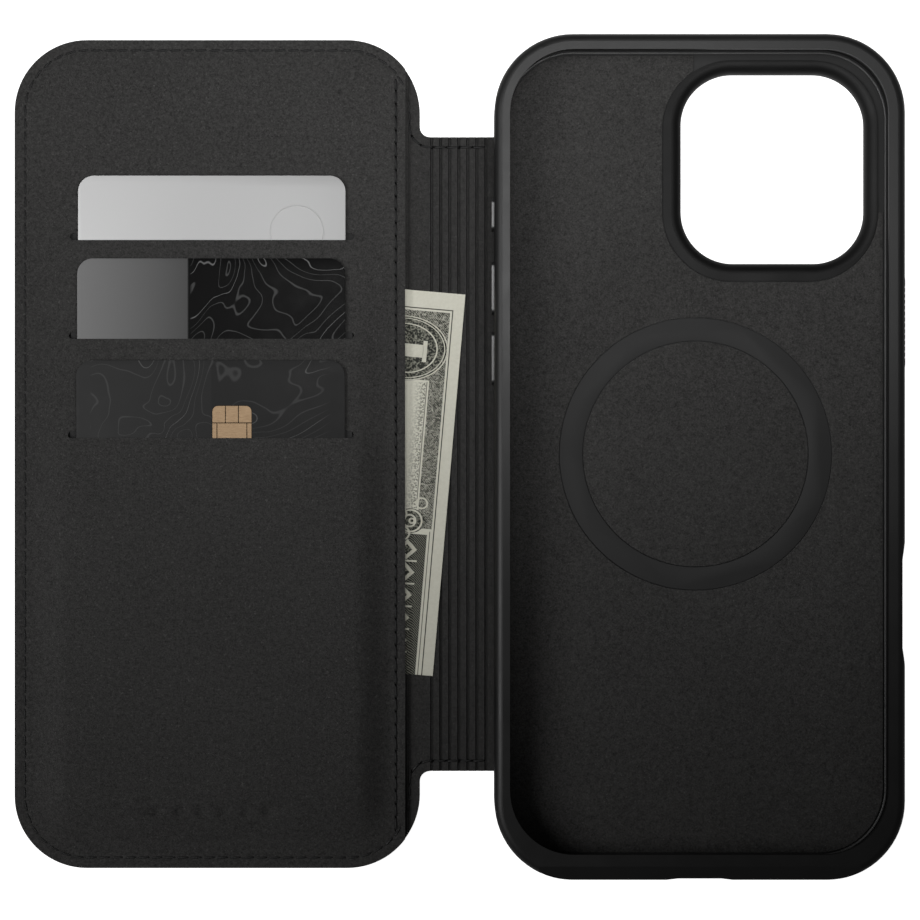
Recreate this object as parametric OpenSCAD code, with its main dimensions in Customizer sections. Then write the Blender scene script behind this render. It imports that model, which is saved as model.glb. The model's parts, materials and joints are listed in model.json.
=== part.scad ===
// Folio case for a phone, lying open: a phone tray, a ribbed spine and a cover with card slots and a cash pocket.
// Origin at the middle of the underside, +X from the cover to the tray, +Y to the camera end, +Z up. Millimetres.

/* [Phone] */
// Width of the phone
phone_w = 77.6; // [70:0.1:80]
// Length of the phone
phone_l = 163; // [158:0.1:170]
// Thickness of the phone
phone_t = 8.25; // [7.5:0.05:9]
// Clearance between the phone and each wall
phone_gap = 0.2; // [0.1:0.05:0.4]

/* [Tray] */
// Thickness of the two side walls
side_wall = 1.8; // [1.7:0.1:2.4]
// Thickness of the wall at the camera end
top_wall = 1.8; // [1.6:0.1:2.4]
// Thickness of the wall at the port end
bottom_wall = 3; // [2:0.1:3.4]
// How far the lip reaches in over the phone's sides
lip_over = 1.25; // [1.2:0.05:1.8]
// Thickness of the lip
lip_t = 0.95; // [0.8:0.05:1.2]
// Corner radius of the phone's space
cavity_r = 14; // [13.5:0.1:15]
// Height of the camera ring below the back leather
ring_proud = 1.6; // [1.2:0.1:1.8]
// Thickness of the rigid back plate
plate_t = 1; // [1:0.1:1.4]

/* [Camera opening] */
// Width of the opening
camera_w = 37.3; // [36:0.1:38]
// Length of the opening
camera_l = 38.5; // [37:0.1:39]
// Corner radius of the opening
camera_r = 10.5; // [8:0.1:11]
// Middle of the opening to the right of the phone's middle
camera_x = 15.85; // [15:0.05:16]
// Middle of the opening above the phone's middle
camera_y = 57.9; // [55:0.1:58]

/* [Magnets] */
// Outer diameter of the magnet ring's cover
ring_od = 55; // [54:0.1:56]
// Inner diameter of the magnet ring's cover
ring_id = 45.8; // [45:0.1:47]
// Number of arc magnets
magnet_count = 18; // [12:1:20]

/* [Buttons] */
// How far the buttons stand out of the wall
button_proud = 0.5; // [0.4:0.05:0.5]
// Height of a button's face
button_h = 3.2; // [2.8:0.1:3.4]
// Pitch of the knurling on the power button
knurl_pitch = 1.17; // [1:0.01:1.3]

/* [Cover] */
// Width of the cover
cover_w = 81.9; // [81:0.1:83]
// Length of the cover
cover_l = 167.4; // [166:0.1:169]
// Corner radius of the cover
cover_r = 14.6; // [14:0.1:16]
// Thickness of the leather
leather_t = 0.8; // [0.7:0.05:0.9]
// Thickness of the lining
lining_t = 0.4; // [0.3:0.05:0.4]
// Thickness of the stiffening board
board_t = 0.6; // [0.5:0.05:0.7]
// Thickness of the pocket sheets
sheet_t = 0.25; // [0.2:0.05:0.25]
// Depth of the cash pocket
cash_gap = 0.3; // [0.3:0.05:0.4]

/* [Spine] */
// Width of spine that shows between cover and tray
spine_show = 15; // [14.8:0.1:16]
// Length of the spine
spine_l = 128.6; // [120:0.1:132]
// Number of pressed grooves
groove_count = 6; // [4:1:6]
// Pitch of the grooves
groove_pitch = 1.83; // [1.6:0.01:1.84]

/* [Cards] */
// Width of a card
card_w = 53.98; // [53.9:0.01:54.1]
// Length of a card
card_l = 85.6; // [85.4:0.1:85.8]
// Thickness of a card
card_t = 0.76; // [0.7:0.01:0.8]
// Length of a card slit
slit_w = 57.4; // [56:0.1:59]
// Height of a card slit
slit_h = 1.4; // [1:0.1:1.6]
// Distance from one slit to the next
slit_pitch = 20; // [18:0.1:21]
// Height of the lowest slit above the cover's middle
slit_low_y = 3.2; // [0:0.1:5]

/* [Hidden] */
$fn = 64;

// Clearances
eps = 0.05;
card_play = 0.02;
fold_gap = 0.05;

// Tray outline
cavity_w = phone_w + 2 * phone_gap;
cavity_l = phone_l + 2 * phone_gap;
tray_w = cavity_w + 2 * side_wall;
tray_l = cavity_l + top_wall + bottom_wall;
tray_r = cavity_r + 1.6;
tray_shift = (top_wall - bottom_wall) / 2;
lip_w = phone_w - 2 * lip_over;
lip_l = phone_l - 2 * lip_over - 0.8;
lip_r = cavity_r - lip_over;
lip_x = -0.2;
lip_y = 0.4;

// Places along X and Y
total_w = cover_w + spine_show + tray_w + button_proud;
cover_x = (cover_w - total_w) / 2;
tray_x = (total_w - tray_w) / 2 - button_proud;
tray_left = tray_x - tray_w / 2;
mid_y = (cavity_l / 2 + bottom_wall - cover_l / 2) / 2;

// Heights
z_leather = ring_proud;
z_plate = z_leather + leather_t;
z_tray_lining = z_plate + plate_t;
z_seat = z_tray_lining + lining_t;
z_lip_under = z_seat + phone_t + 0.1;
z_lip = z_lip_under + lip_t;
z_button = z_seat + phone_t / 2;
z_board = z_plate;
z_base = z_board + board_t;
z_cash = z_base + lining_t;
z_backing = z_cash + cash_gap;
z_panel = z_backing + sheet_t;
tier_step = card_t + 2 * card_play + sheet_t;

// Fold lines, in the middle of the spine's thickness
laminate_t = leather_t + lining_t;
z_fold = z_leather + laminate_t / 2;
fold_r = laminate_t / 2;
fold_tray_x = tray_left - fold_r - button_proud - 0.15;
fold_cover_x = tray_left - spine_show - 2.2;
cover_end = fold_cover_x - fold_r - fold_gap - cover_x;
panel_end = cover_end - 0.1;

// Bumper edges
lip_round = 1.7;
foot_round = 1.2;
plate_inset = 1;

// Camera ring
ring_neck = 2.4;
ring_round = 2.2;
flange_w = 43.6;
flange_l = 44.8;
flange_r = 14;
flange_x = 15.15;
flange_y = 57.3;
ring_top = z_seat + 0.1;

// Buttons: middle above the phone's middle, and length
action_y = 47.9;
action_l = 6.6;
volume_up_y = 33.2;
volume_down_y = 19.1;
volume_l = 10.6;
power_y = 26.3;
power_l = 18.2;
pocket_depth = 1;
button_travel = 0.3;
stem_h = 1.6;
stem_short = 3;

// Openings in the walls
port_w = 11;
port_h = 5.8;
speaker_x = 15.5;
speaker_w = 8;
speaker_h = 2.2;
control_y = -29.7;
control_w = 18;
control_h = 5;

// Slot panel
slot_x = -1;
ramp_w = 5;
bulge_low = -67.6;
stitch_in = 2.1;
thread_w = 0.5;
thread_deep = 0.15;
edge_thread_in = 1.85;

// Cards: height of each top edge above the cover's middle
upper_top = 56.2;
middle_top = 39.4;
lower_top = 18.85;
chip_w = 8;
chip_l = 10.6;
chip_t = 0.1;

// Banknote, folded once
note_w = 66.3;
note_l = 77.6;
note_t = 0.24;
note_lean = 4.9;
note_x = -34.7;
note_y = -3.5;

function z_tier(k) = z_panel + k * tier_step;
function z_card(k) = z_tier(k - 1) + sheet_t + card_play;
function slit_y(k) = slit_low_y + (3 - k) * slit_pitch;

// Flat shapes

module round_rect(w, l, r) {
    square([w - 2 * r, l], center = true);
    square([w, l - 2 * r], center = true);
    for (sx = [-1, 1], sy = [-1, 1])
        translate([sx * (w / 2 - r), sy * (l / 2 - r)])
            circle(r);
}

module plate(w, l, r, t) {
    linear_extrude(t)
        round_rect(w, l, r);
}

// A bar with round ends, length along X
module stadium(w, h) {
    square([w - h, h], center = true);
    for (s = [-1, 1])
        translate([s * (w - h) / 2, 0])
            circle(h / 2);
}

// Sweeps an outline around a rounded rectangle, with X pointing out of it
module sweep_round_rect(w, l, r) {
    for (a = [0, 1, 2, 3]) {
        side = a % 2 == 0 ? l : w;
        reach = a % 2 == 0 ? w : l;
        rotate(90 * a) {
            translate([reach / 2 - r, side / 2 - r, 0])
                rotate_extrude(angle = 90)
                    translate([r, 0])
                        children();
            translate([reach / 2, side / 2 - r, 0])
                rotate([90, 0, 0])
                    linear_extrude(side - 2 * r)
                        children();
        }
    }
}

module at_tray(z = 0) {
    translate([tray_x, mid_y, z])
        children();
}

module at_cover(z = 0) {
    translate([cover_x, mid_y, z])
        children();
}

// Tray

// Half section of the bumper's outside, from the axis out to r
module edge_section(r) {
    h = z_lip - z_plate;
    square([r - lip_round, h]);
    translate([0, foot_round])
        square([r, h - foot_round - lip_round]);
    translate([r - lip_round, h - lip_round])
        circle(lip_round);
    translate([r - foot_round, foot_round])
        circle(foot_round);
}

module full_section(w) {
    for (m = [0, 1])
        mirror([m, 0])
            edge_section(w / 2);
}

module bumper_block() {
    translate([0, tray_shift, z_plate]) {
        translate([0, (tray_l - 2 * tray_r) / 2, 0])
            rotate([90, 0, 0])
                linear_extrude(tray_l - 2 * tray_r)
                    full_section(tray_w);
        translate([-(tray_w - 2 * tray_r) / 2, 0, 0])
            rotate([90, 0, 90])
                linear_extrude(tray_w - 2 * tray_r)
                    full_section(tray_l);
        for (sx = [-1, 1], sy = [-1, 1])
            translate([sx * (tray_w / 2 - tray_r), sy * (tray_l / 2 - tray_r), 0])
                rotate_extrude()
                    edge_section(tray_r);
    }
}

// Pocket for a button's cap, and the hole for its stem, in the wall on side s
module button_window(s, y, l) {
    translate([s * (tray_w / 2 - pocket_depth), y, z_button])
        rotate([90, 0, s * 90])
            linear_extrude(pocket_depth + 1)
                round_rect(l + 2 * eps + 0.1, button_h + 2 * eps + 0.1, 1 + eps + 0.05);
    translate([s * (cavity_w / 2 - 1), y, z_button])
        rotate([90, 0, s * 90])
            linear_extrude(side_wall + 1)
                stadium(l - stem_short + 0.2, stem_h + 0.2);
}

module bumper_openings() {
    translate([0, -cavity_l / 2 + 1, z_button])
        rotate([90, 0, 0]) {
            linear_extrude(bottom_wall + 2)
                stadium(port_w, port_h);
            for (s = [-1, 1])
                translate([s * speaker_x, 0, 0])
                    linear_extrude(bottom_wall + 2)
                        stadium(speaker_w, speaker_h);
        }
    translate([0, tray_shift - tray_l / 2, z_plate - 1])
        linear_extrude(z_lip)
            polygon([[-6.6, -1], [-6.6, 0], [-4.3, 0.3], [4.3, 0.3], [6.6, 0], [6.6, -1]]);
    translate([tray_w / 2, control_y, z_plate - 1])
        linear_extrude(z_lip)
            polygon([[1, -12.6], [0, -12.6], [-0.7, -8.8], [-0.7, 8.8], [0, 12.6], [1, 12.6]]);
    translate([cavity_w / 2 - 1, control_y, z_button])
        rotate([90, 0, 90])
            linear_extrude(side_wall + 2)
                stadium(control_w, control_h);
}

// Slope that the top edge falls away with at the port end
module port_end_slope() {
    translate([0, tray_shift - tray_l / 2 + 2.95, z_lip])
        rotate([30, 0, 0])
            translate([-tray_w / 2, -8, 0])
                cube([tray_w, 8, 4]);
}

module bumper_frame() {
    color([0.07, 0.07, 0.075])
        at_tray()
            difference() {
                bumper_block();
                translate([0, tray_shift, z_plate - 1])
                    plate(tray_w - 2 * plate_inset + 2 * eps, tray_l - 2 * plate_inset + 2 * eps,
                        tray_r - plate_inset, plate_t + 1);
                translate([0, 0, z_tray_lining - 1])
                    plate(cavity_w, cavity_l, cavity_r, z_lip_under - z_tray_lining + 1);
                translate([lip_x, lip_y, z_lip_under - 1])
                    plate(lip_w, lip_l, lip_r, lip_t + 2);
                port_end_slope();
                button_window(-1, action_y, action_l);
                button_window(-1, volume_up_y, volume_l);
                button_window(-1, volume_down_y, volume_l);
                button_window(1, power_y, power_l);
                bumper_openings();
            }
}

// Room for the camera ring's neck, with a gap g round it
module neck_hole(g) {
    translate([camera_x, camera_y, -1])
        plate(camera_w + 2 * (ring_neck + g), camera_l + 2 * (ring_neck + g),
            camera_r + ring_neck + g, z_lip);
}

module magnet_groove() {
    rotate_extrude()
        translate([ring_id / 2 + 0.4, 0])
            square([(ring_od - ring_id) / 2 - 0.8, 2]);
}

module back_plate() {
    color([0.1, 0.1, 0.1])
        at_tray()
            difference() {
                translate([0, tray_shift, z_plate])
                    plate(tray_w - 2 * plate_inset, tray_l - 2 * plate_inset, tray_r - plate_inset, plate_t);
                neck_hole(eps);
                translate([0, 0, z_plate + 0.35])
                    magnet_groove();
                translate([0, -40, z_plate + 0.35])
                    plate(6.1, 22.1, 1.55, 2);
            }
}

module back_leather() {
    color([0.09, 0.085, 0.08])
        difference() {
            union() {
                at_tray(z_leather)
                    translate([0, tray_shift, 0])
                        plate(tray_w - 1.6, tray_l - 1.6, tray_r - 0.8, leather_t);
                translate([fold_tray_x + fold_r + fold_gap, mid_y - spine_l / 2, z_leather])
                    cube([tray_w / 2, spine_l, leather_t]);
            }
            at_tray()
                neck_hole(eps);
        }
}

// Section of the camera ring's neck, from the opening's edge outwards
module neck_section() {
    rim_round = 0.5;
    translate([rim_round, 0])
        square([ring_neck - 2 * rim_round, ring_top - ring_round]);
    translate([0, rim_round])
        square([ring_neck, ring_top - ring_round - rim_round]);
    for (x = [rim_round, ring_neck - rim_round])
        translate([x, rim_round])
            circle(rim_round);
    intersection() {
        translate([ring_round, ring_top - ring_round])
            circle(ring_round, $fn = 64);
        translate([0, ring_top - ring_round])
            square(ring_round);
    }
    translate([ring_round, ring_top - ring_round - 0.1])
        square([ring_neck - ring_round, ring_round + 0.1]);
}

// Outline of the camera ring's flange, drawn in by g
module flange(g, t) {
    translate([flange_x, flange_y, 0])
        plate(flange_w - 2 * g, flange_l - 2 * g, flange_r - g, t);
}

module camera_ring() {
    color([0.08, 0.08, 0.085])
        at_tray() {
            translate([camera_x, camera_y, 0])
                sweep_round_rect(camera_w, camera_l, camera_r)
                    neck_section();
            translate([0, 0, z_tray_lining])
                difference() {
                    union() {
                        flange(0, ring_top - z_tray_lining - 0.15);
                        flange(0.15, ring_top - z_tray_lining);
                    }
                    translate([camera_x, camera_y, -1])
                        plate(camera_w + ring_round + ring_neck, camera_l + ring_round + ring_neck,
                            camera_r + (ring_round + ring_neck) / 2, 3);
                }
        }
}

module tray_lining() {
    inset = 0.6;
    color([0.2, 0.2, 0.2])
        at_tray(z_tray_lining)
            difference() {
                plate(cavity_w - 2 * inset, cavity_l - 2 * inset, cavity_r - inset, lining_t);
                translate([0, 0, -1])
                    flange(-0.1, 3);
                difference() {
                    translate([0, 0, -1])
                        cylinder(h = 3, d = ring_od + 2 * eps);
                    translate([0, 0, -2])
                        cylinder(h = 5, d = ring_id - 2 * eps);
                }
            }
}

module magnet_ring_cover() {
    color([0.13, 0.13, 0.13])
        at_tray(z_tray_lining)
            difference() {
                cylinder(h = lining_t - 0.05, d = ring_od);
                translate([0, 0, -1])
                    cylinder(h = 3, d = ring_id);
            }
}

module ring_magnets() {
    magnet_t = 0.6;
    color([0.6, 0.6, 0.62])
        at_tray(z_plate + 0.38)
            for (k = [0 : magnet_count - 1])
                rotate(360 / magnet_count * k)
                    rotate_extrude(angle = 360 / magnet_count - 1)
                        translate([ring_id / 2 + 0.5, 0])
                            square([(ring_od - ring_id) / 2 - 1, magnet_t]);
}

module alignment_magnet() {
    color([0.6, 0.6, 0.62])
        at_tray(z_plate + 0.38)
            translate([0, -40, 0])
                plate(6, 22, 1.5, 0.6);
}

// Cap and stem of a button in the wall on side s, knurled across its outer face
module button(s, y, l, knurled) {
    cap_t = button_proud + pocket_depth - button_travel - 0.1;
    knurls = knurled ? floor((l - button_h) / knurl_pitch) : -1;
    groove_w = 0.4;
    groove_deep = 0.2;
    at_tray()
        translate([s * (tray_w / 2 + button_proud), y, z_button])
            rotate([90, 0, s * -90])
                difference() {
                    union() {
                        linear_extrude(cap_t)
                            round_rect(l, button_h, 1);
                        linear_extrude(side_wall + button_proud - eps)
                            stadium(l - stem_short, stem_h);
                    }
                    for (k = [0 : 1 : knurls])
                        translate([(k - knurls / 2) * knurl_pitch - groove_w / 2, -button_h, -1])
                            cube([groove_w, 2 * button_h, 1 + groove_deep]);
                }
}

module action_button() {
    color([0.2, 0.2, 0.21])
        button(-1, action_y, action_l, false);
}

module volume_up_button() {
    color([0.2, 0.2, 0.21])
        button(-1, volume_up_y, volume_l, false);
}

module volume_down_button() {
    color([0.2, 0.2, 0.21])
        button(-1, volume_down_y, volume_l, false);
}

module power_button() {
    color([0.12, 0.12, 0.12])
        button(1, power_y, power_l, true);
}

// Spine

// Slab between the two fold lines, with round noses on them, from z0 up to z1
module spine_slab(z0, z1) {
    fillet = 2.1;
    shoulder_x = tray_left - spine_show + 0.1;
    intersection() {
        union() {
            translate([fold_cover_x, mid_y - spine_l / 2, z_leather])
                cube([fold_tray_x - fold_cover_x, spine_l, laminate_t]);
            for (x = [fold_cover_x, fold_tray_x])
                translate([x, mid_y + spine_l / 2, z_fold])
                    rotate([90, 0, 0])
                        cylinder(h = spine_l, r = fold_r);
            translate([shoulder_x, mid_y, z_leather])
                for (m = [0, 1])
                    mirror([0, m, 0])
                        translate([0, spine_l / 2, 0])
                            linear_extrude(laminate_t)
                                difference() {
                                    translate([0, -1])
                                        square([fillet, fillet + 1]);
                                    translate([fillet, fillet])
                                        circle(fillet);
                                }
        }
        translate([cover_x, -cover_l, z0])
            cube([total_w, 2 * cover_l, z1 - z0]);
    }
}

module spine_leather() {
    color([0.09, 0.085, 0.08])
        spine_slab(z_leather, z_plate);
}

module thread_grooves(z) {
    for (s = [-1, 1])
        translate([fold_cover_x, mid_y + s * (spine_l / 2 - stitch_in) - thread_w / 2, z - thread_deep])
            cube([fold_tray_x - fold_cover_x - fold_r, thread_w, 1]);
}

module spine_lining() {
    groove_w = 0.45;
    groove_deep = 0.22;
    z_top = z_leather + laminate_t;
    color([0.2, 0.2, 0.2])
        difference() {
            spine_slab(z_plate, z_top);
            for (k = [1 : groove_count])
                translate([tray_left - 1.6 - k * groove_pitch - groove_w / 2, -cover_l, z_top - groove_deep])
                    cube([groove_w, 2 * cover_l, 1]);
            thread_grooves(z_top);
        }
}

module spine_thread() {
    z_top = z_leather + laminate_t;
    color([0.05, 0.05, 0.05])
        intersection() {
            thread_grooves(z_top);
            translate([-total_w, -cover_l, 0])
                cube([2 * total_w, 2 * cover_l, z_top]);
        }
}

// Cover

// Outline of a cover layer, inset from the edge, that stops short of the spine between its ends
module cover_layer(inset, t) {
    linear_extrude(t)
        difference() {
            round_rect(cover_w - 2 * inset, cover_l - 2 * inset, cover_r - inset);
            translate([cover_end, -spine_l / 2 - 0.1])
                square([cover_w, spine_l + 0.2]);
        }
}

// Outline of a pocket layer, inset from the edge, open along a straight edge at end_x
module pocket_layer(inset, end_x, t) {
    linear_extrude(t)
        intersection() {
            round_rect(cover_w - 2 * inset, cover_l - 2 * inset, cover_r - inset);
            translate([-cover_w, -cover_l])
                square([cover_w + end_x, 2 * cover_l]);
        }
}

module cover_leather() {
    color([0.09, 0.085, 0.08])
        at_cover(z_leather)
            cover_layer(0, leather_t);
}

module cover_board() {
    color([0.3, 0.28, 0.25])
        at_cover(z_board)
            pocket_layer(0.6, cover_end, board_t);
}

module cover_lining() {
    color([0.2, 0.2, 0.2])
        at_cover()
            difference() {
                union() {
                    translate([0, 0, z_base])
                        cover_layer(0.3, lining_t);
                    translate([0, 0, z_board])
                        intersection() {
                            cover_layer(0.3, board_t + eps);
                            translate([cover_end + eps, -cover_l, -1])
                                cube([cover_w, 2 * cover_l, 3]);
                        }
                }
                translate([0, 0, z_cash - thread_deep])
                    seam(panel_end, cover_w);
            }
}

module pocket_backing() {
    rim = 3.4;
    color([0.16, 0.16, 0.16])
        at_cover(z_cash)
            difference() {
                pocket_layer(0.4, panel_end, cash_gap + sheet_t);
                translate([0, 0, -1])
                    linear_extrude(cash_gap + 1)
                        union() {
                            round_rect(cover_w - 2 * rim, cover_l - 2 * rim, cover_r - rim);
                            translate([0, -cover_l / 2 + cover_r])
                                square([cover_w, cover_l - 2 * cover_r]);
                        }
            }
}

// Perimeter seam between two X limits, |y| clear of the spine on the right
module seam(x0, x1) {
    intersection() {
        linear_extrude(1)
            difference() {
                round_rect(cover_w - 2 * stitch_in + thread_w, cover_l - 2 * stitch_in + thread_w,
                    cover_r - stitch_in + thread_w / 2);
                round_rect(cover_w - 2 * stitch_in - thread_w, cover_l - 2 * stitch_in - thread_w,
                    cover_r - stitch_in - thread_w / 2);
                translate([panel_end, -spine_l / 2 - 1])
                    square([cover_w, spine_l + 2]);
            }
        translate([x0, -cover_l, -1])
            cube([x1 - x0, 2 * cover_l, 3]);
    }
}

module edge_seam() {
    reach = 152.8;
    translate([panel_end - edge_thread_in - thread_w / 2, -reach / 2, 0])
        cube([thread_w, reach, 1]);
}

// Raised part of the panel over card k, between two heights, with ramps down to the flat border
module tier(k, y0, y1) {
    half = slit_w / 2;
    z = z_tier(k);
    translate([slot_x, y1, 0])
        rotate([90, 0, 0])
            linear_extrude(y1 - y0)
                polygon([[-half - ramp_w, z_panel], [-half, z], [half, z], [half + ramp_w, z_panel],
                    [half + ramp_w, z_panel + sheet_t], [half, z + sheet_t],
                    [-half, z + sheet_t], [-half - ramp_w, z_panel + sheet_t]]);
}

// Cloth beside slit k, closing the step between the two ramps
module step_sides(k) {
    half = slit_w / 2;
    z_low = z_tier(k - 1);
    z_high = z_tier(k) + sheet_t;
    for (m = [0, 1])
        translate([slot_x, slit_y(k) + slit_h, 0])
            mirror([m, 0, 0])
                rotate([90, 0, 0])
                    linear_extrude(slit_h)
                        polygon([[half, z_low], [half + ramp_w, z_panel], [half + ramp_w, z_panel + sheet_t],
                            [half, z_high]]);
}

// Slope at the foot of the lowest tier
module foot_slope() {
    half = slit_w / 2;
    z = z_tier(3);
    translate([slot_x - half, bulge_low, 0])
        rotate([90, 0, 90])
            linear_extrude(slit_w)
                polygon([[0, z], [0, z + sheet_t], [-ramp_w, z_panel + sheet_t], [-ramp_w, z_panel]]);
    for (m = [0, 1])
        translate([slot_x, bulge_low, 0])
            mirror([m, 0, 0])
                translate([half, 0, 0])
                    hull() {
                        translate([0, -eps, z])
                            cube([eps, eps, sheet_t]);
                        translate([0, -ramp_w, z_panel])
                            cube([ramp_w, eps, sheet_t]);
                        translate([ramp_w - eps, -ramp_w, z_panel])
                            cube([eps, ramp_w, sheet_t]);
                    }
}

module slot_panel() {
    half = slit_w / 2;
    color([0.2, 0.2, 0.2])
        at_cover()
            difference() {
                union() {
                    difference() {
                        translate([0, 0, z_panel])
                            pocket_layer(0.3, panel_end, sheet_t);
                        translate([slot_x - half - ramp_w, bulge_low - ramp_w, z_panel - 1])
                            cube([slit_w + 2 * ramp_w, slit_y(1) + slit_h - bulge_low + ramp_w, 3]);
                    }
                    tier(1, slit_y(2) + slit_h, slit_y(1));
                    tier(2, slit_y(3) + slit_h, slit_y(2));
                    tier(3, bulge_low, slit_y(3));
                    for (k = [1 : 3])
                        step_sides(k);
                    foot_slope();
                }
                translate([0, 0, z_panel + sheet_t - thread_deep])
                    seam(-cover_w, panel_end);
                translate([0, 0, z_panel + sheet_t - thread_deep])
                    edge_seam();
            }
}

// Cloth behind card k, from its slit down past the card's lower edge
module liner(k, low_y) {
    thin = 0.15;
    top_y = slit_y(k) + slit_h;
    at_cover(z_tier(k - 1) + 0.05)
        translate([slot_x - 28.4, low_y, 0])
            cube([56.8, top_y - low_y, thin]);
}

module middle_card_liner() {
    color([0.12, 0.12, 0.12])
        liner(2, -48);
}

module lower_card_liner() {
    color([0.12, 0.12, 0.12])
        liner(3, -67.4);
}

module cover_thread() {
    color([0.05, 0.05, 0.05])
        at_cover() {
            for (part = [[-cover_w, panel_end, z_panel + sheet_t], [panel_end, cover_w, z_cash]])
                intersection() {
                    translate([0, 0, part[2] - thread_deep])
                        seam(part[0], part[1]);
                    translate([-cover_w, -cover_l, 0])
                        cube([2 * cover_w, 2 * cover_l, part[2]]);
                }
        }
}

module pocket_edge_thread() {
    color([0.05, 0.05, 0.05])
        at_cover(z_panel + sheet_t - thread_deep)
            intersection() {
                edge_seam();
                translate([-cover_w, -cover_l, 0])
                    cube([2 * cover_w, 2 * cover_l, thread_deep]);
            }
}

// Cards and cash

module card(k, top_y) {
    corner_r = 3.18;
    at_cover(z_card(k))
        translate([slot_x, top_y - card_l / 2, 0])
            plate(card_w, card_l, corner_r, card_t);
}

module chip_outline(g) {
    translate([cover_x + slot_x + 4.3, mid_y + 9.75 - chip_l / 2, z_card(3) + card_t - chip_t])
        plate(chip_w + 2 * g, chip_l + 2 * g, 1.2 + g, chip_t + g);
}

module upper_card() {
    color([0.75, 0.76, 0.77])
        card(1, upper_top);
}

module middle_card() {
    color([0.15, 0.15, 0.16])
        card(2, middle_top);
}

module lower_card() {
    color([0.06, 0.06, 0.065])
        difference() {
            card(3, lower_top);
            chip_outline(0.01);
        }
}

module card_chip() {
    color([0.8, 0.65, 0.42])
        chip_outline(0);
}

// Two leaves joined along the fold at the lower end
module banknote() {
    leaf_gap = 0.04;
    color([0.75, 0.73, 0.64])
        translate([note_x, mid_y + note_y, z_cash + 0.03])
            rotate(-note_lean)
                difference() {
                    translate([-note_w / 2, -note_l / 2, 0])
                        cube([note_w, note_l, note_t]);
                    translate([-note_w, -note_l / 2 + 0.3, (note_t - leaf_gap) / 2])
                        cube([2 * note_w, note_l, leaf_gap]);
                }
}

bumper_frame();
back_plate();
back_leather();
camera_ring();
tray_lining();
magnet_ring_cover();
ring_magnets();
alignment_magnet();
action_button();
volume_up_button();
volume_down_button();
power_button();
spine_leather();
spine_lining();
spine_thread();
cover_leather();
cover_board();
cover_lining();
pocket_backing();
slot_panel();
middle_card_liner();
lower_card_liner();
cover_thread();
pocket_edge_thread();
upper_card();
middle_card();
lower_card();
card_chip();
banknote();
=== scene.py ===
"""Looks of a folio phone case lying open: leather outside, microfibre inside, three cards and a note."""
import json
import math
from contextlib import contextmanager

import bmesh
import bpy
from mathutils import Matrix, Vector


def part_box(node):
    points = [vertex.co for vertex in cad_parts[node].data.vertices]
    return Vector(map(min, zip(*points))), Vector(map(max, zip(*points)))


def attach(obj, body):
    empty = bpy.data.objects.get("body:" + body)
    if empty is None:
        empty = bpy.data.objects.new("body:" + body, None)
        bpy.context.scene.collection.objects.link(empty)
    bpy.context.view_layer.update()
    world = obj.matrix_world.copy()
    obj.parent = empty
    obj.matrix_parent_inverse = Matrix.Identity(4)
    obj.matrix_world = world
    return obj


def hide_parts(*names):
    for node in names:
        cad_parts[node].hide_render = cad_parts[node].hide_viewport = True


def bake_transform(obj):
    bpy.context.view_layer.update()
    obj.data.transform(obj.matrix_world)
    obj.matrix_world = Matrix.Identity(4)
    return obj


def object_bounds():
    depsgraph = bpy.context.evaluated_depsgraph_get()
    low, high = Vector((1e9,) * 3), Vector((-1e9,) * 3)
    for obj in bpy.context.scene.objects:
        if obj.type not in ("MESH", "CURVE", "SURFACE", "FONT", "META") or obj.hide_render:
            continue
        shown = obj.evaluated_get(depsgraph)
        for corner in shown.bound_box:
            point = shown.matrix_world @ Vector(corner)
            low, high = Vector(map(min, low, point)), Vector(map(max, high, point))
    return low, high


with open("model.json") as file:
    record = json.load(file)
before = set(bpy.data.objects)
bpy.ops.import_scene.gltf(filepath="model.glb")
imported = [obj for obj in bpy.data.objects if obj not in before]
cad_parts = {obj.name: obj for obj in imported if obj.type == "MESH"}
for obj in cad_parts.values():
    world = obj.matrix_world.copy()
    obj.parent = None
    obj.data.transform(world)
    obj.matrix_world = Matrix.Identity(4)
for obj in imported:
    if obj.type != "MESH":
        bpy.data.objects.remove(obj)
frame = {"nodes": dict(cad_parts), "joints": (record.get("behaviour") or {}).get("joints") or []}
cad_low, cad_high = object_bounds()
bpy.ops.object.select_all(action="DESELECT")

MM = 0.001
SIDEWAYS, ALONG = 0, 1
NEAR = 0.02 * MM

# Boxes of the CAD nodes that the soft pieces follow
cover_low, cover_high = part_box("cover_leather")
tray_low, tray_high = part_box("bumper_frame")
panel_low, panel_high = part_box("slot_panel")
seat_low, seat_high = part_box("tray_lining")
back_low, back_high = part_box("back_leather")
ring_low, ring_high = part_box("camera_ring")
magnet_low, magnet_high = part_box("magnet_ring_cover")
spine_low, spine_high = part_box("spine_lining")
chip_low, chip_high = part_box("card_chip")
note_low, note_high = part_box("banknote")
middle_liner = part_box("middle_card_liner")
lower_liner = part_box("lower_card_liner")
CARDS = {name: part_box(name) for name in ("upper_card", "middle_card", "lower_card")}
FOLD_X = {j["name"]: j["pos_m"][0] for j in frame["joints"] if j["type"] == "hinge"}

# Cover and spine
CORNER = 14.6 * MM
FILLET = 2.1 * MM
middle_y = (cover_low.y + cover_high.y) / 2
spine_half = (spine_high.y - spine_low.y) / 2 - FILLET
leather_bottom, leather_top = back_low.z, back_high.z
lining_t = 0.4 * MM
spine_top = spine_high.z
cover_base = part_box("cover_lining")[1].z
panel_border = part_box("pocket_edge_thread")[1].z
sheet_t = 0.25 * MM

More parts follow.
